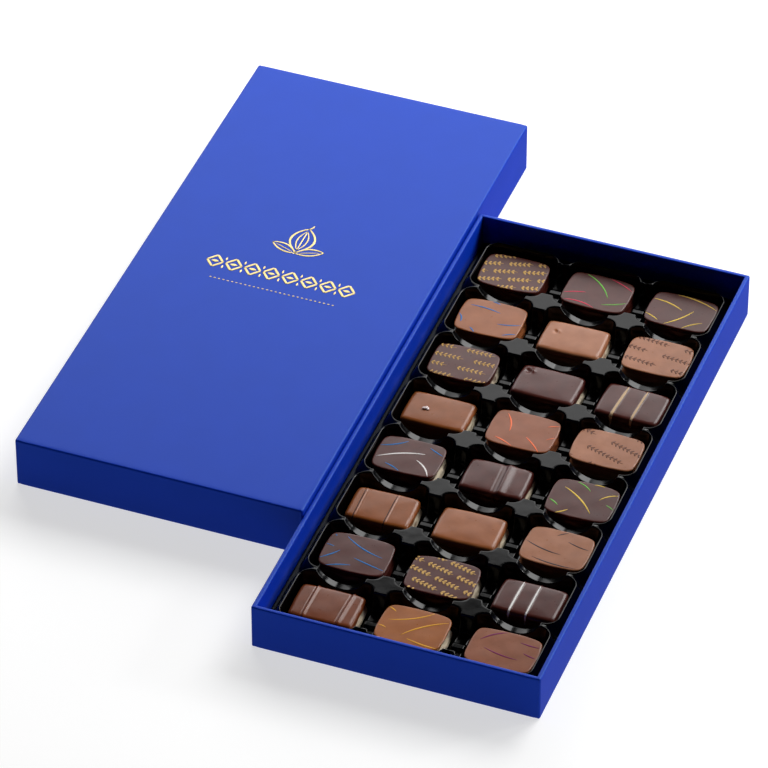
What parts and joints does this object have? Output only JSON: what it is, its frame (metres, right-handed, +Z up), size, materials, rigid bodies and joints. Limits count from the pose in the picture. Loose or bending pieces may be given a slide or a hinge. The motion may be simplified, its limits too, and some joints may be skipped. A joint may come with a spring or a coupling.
{
  "type": "box of chocolate pralines",
  "caption": "Flat two-part box of covered board, open, with its lid lying beside it and a black pocketed tray of oblong chocolate pralines.",
  "frame": {"origin": "middle of the base's flat underside", "axes": "+X across the open base, away from the lid; +Y along the box; +Z up, out of the open base"},
  "size_m": [0.2449, 0.327, 0.023],
  "materials": {
    "blue_covered_board": "board covered with smooth royal blue paper, satin",
    "black_tray": "glossy black formed plastic sheet",
    "dark_chocolate": "dark chocolate, soft gloss",
    "milk_chocolate": "milk chocolate, soft gloss",
    "gold_foil": "hot-stamped gold foil on the lid",
    "icing": "thin piped lines of coloured cocoa butter",
    "sea_salt": "flakes of salt"
  },
  "bodies": {
    "root": {"base_box": "blue_covered_board", "lid": "blue_covered_board", "tray": "black_tray", "praline_a1": "dark_chocolate", "praline_b1": "dark_chocolate", "praline_c1": "dark_chocolate", "praline_a2": "milk_chocolate", "praline_b2": "milk_chocolate", "praline_c2": "milk_chocolate", "praline_a3": "dark_chocolate", "praline_b3": "dark_chocolate", "praline_c3": "dark_chocolate", "praline_a4": "milk_chocolate", "praline_b4": "milk_chocolate", "praline_c4": "milk_chocolate", "praline_a5": "dark_chocolate", "praline_b5": "dark_chocolate", "praline_c5": "dark_chocolate", "praline_a6": "milk_chocolate", "praline_b6": "milk_chocolate", "praline_c6": "milk_chocolate", "praline_a7": "dark_chocolate", "praline_b7": "dark_chocolate", "praline_c7": "dark_chocolate", "praline_a8": "milk_chocolate", "praline_b8": "milk_chocolate", "praline_c8": "milk_chocolate"}
  },
  "joints": []
}
